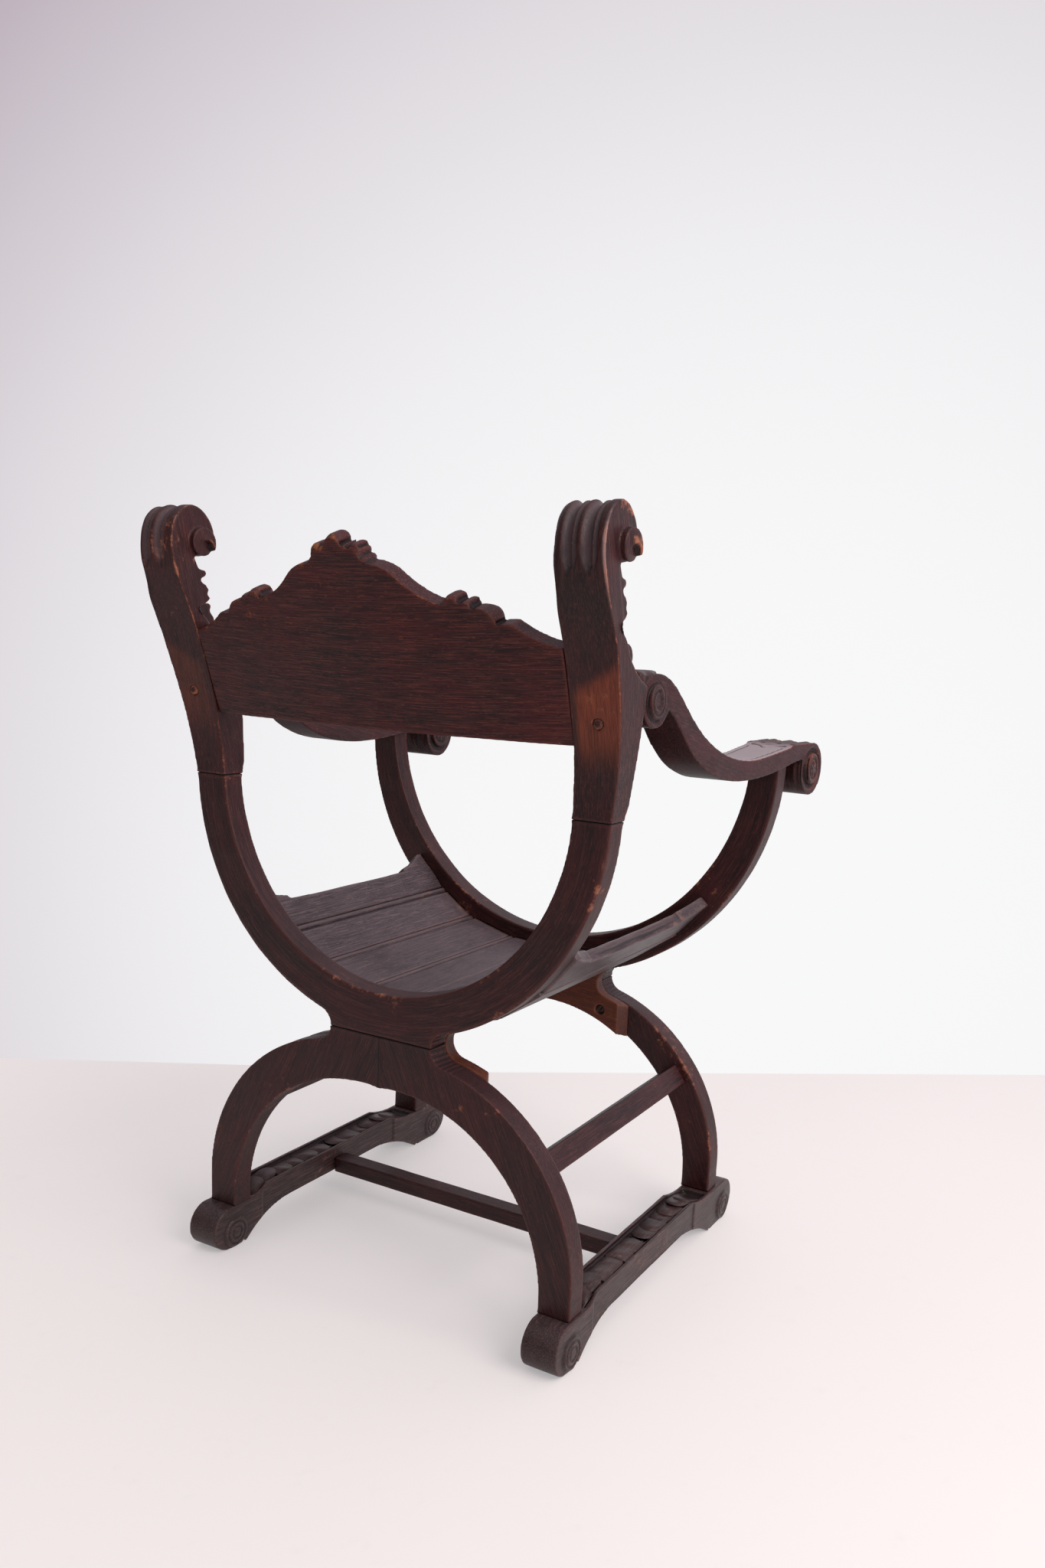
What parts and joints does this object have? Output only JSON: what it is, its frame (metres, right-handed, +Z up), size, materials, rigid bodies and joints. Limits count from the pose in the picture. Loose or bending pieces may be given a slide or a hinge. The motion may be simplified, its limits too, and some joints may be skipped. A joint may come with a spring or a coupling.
{
  "type": "savonarola chair",
  "caption": "Rigid X-frame armchair: two arch-and-bowl frames on carved runners carry a curved slatted seat, a raked crested back panel between scrolled posts, and scrolled arms.",
  "frame": {"origin": "on the floor, under the centre of the chair's box", "axes": "+Z up, the chair faces -Y, its back is at +Y, and x = 0 is its plane of symmetry; the sitter's left is +X"},
  "size_m": [0.6886, 0.636, 0.9465],
  "materials": {
    "stained_oak": "quarter-sawn oak stained nearly black-brown, waxed, worn pale along the edges",
    "panel_oak": "dark red-brown stained oak with a level grain and fine light flecks, waxed",
    "seat_oak": "dark stained oak slats, dulled grey by use",
    "cleat_oak": "thinly stained orange-brown oak",
    "pegs": "stained oak end grain",
    "beech_dowels": "bare turned hardwood, hidden in the joints",
    "iron_screws": "blackened iron"
  },
  "bodies": {
    "root": {"arm_front_dowels": "beech_dowels", "arm_left": "stained_oak", "arm_rear_dowels": "beech_dowels", "arm_right": "stained_oak", "back_arch_left": "stained_oak", "back_arch_right": "stained_oak", "back_bowl": "stained_oak", "back_cleat": "cleat_oak", "back_cleat_screws": "iron_screws", "back_crown_dowel": "beech_dowels", "back_panel": "panel_oak", "back_post_left": "stained_oak", "back_post_right": "stained_oak", "back_waist_dowels": "beech_dowels", "cross_stretcher": "stained_oak", "front_arch_left": "stained_oak", "front_arch_right": "stained_oak", "front_bowl": "stained_oak", "front_cleat": "cleat_oak", "front_cleat_screws": "iron_screws", "front_crown_dowel": "beech_dowels", "front_waist_dowels": "beech_dowels", "panel_pegs": "pegs", "post_dowels": "beech_dowels", "runner_left": "stained_oak", "runner_right": "stained_oak", "seat_slat_1_left": "seat_oak", "seat_slat_1_right": "seat_oak", "seat_slat_2_left": "seat_oak", "seat_slat_2_right": "seat_oak", "seat_slat_3_left": "seat_oak", "seat_slat_3_right": "seat_oak", "seat_slat_4_left": "seat_oak", "seat_slat_4_right": "seat_oak", "side_stretcher_left": "stained_oak", "side_stretcher_right": "stained_oak"}
  },
  "joints": []
}
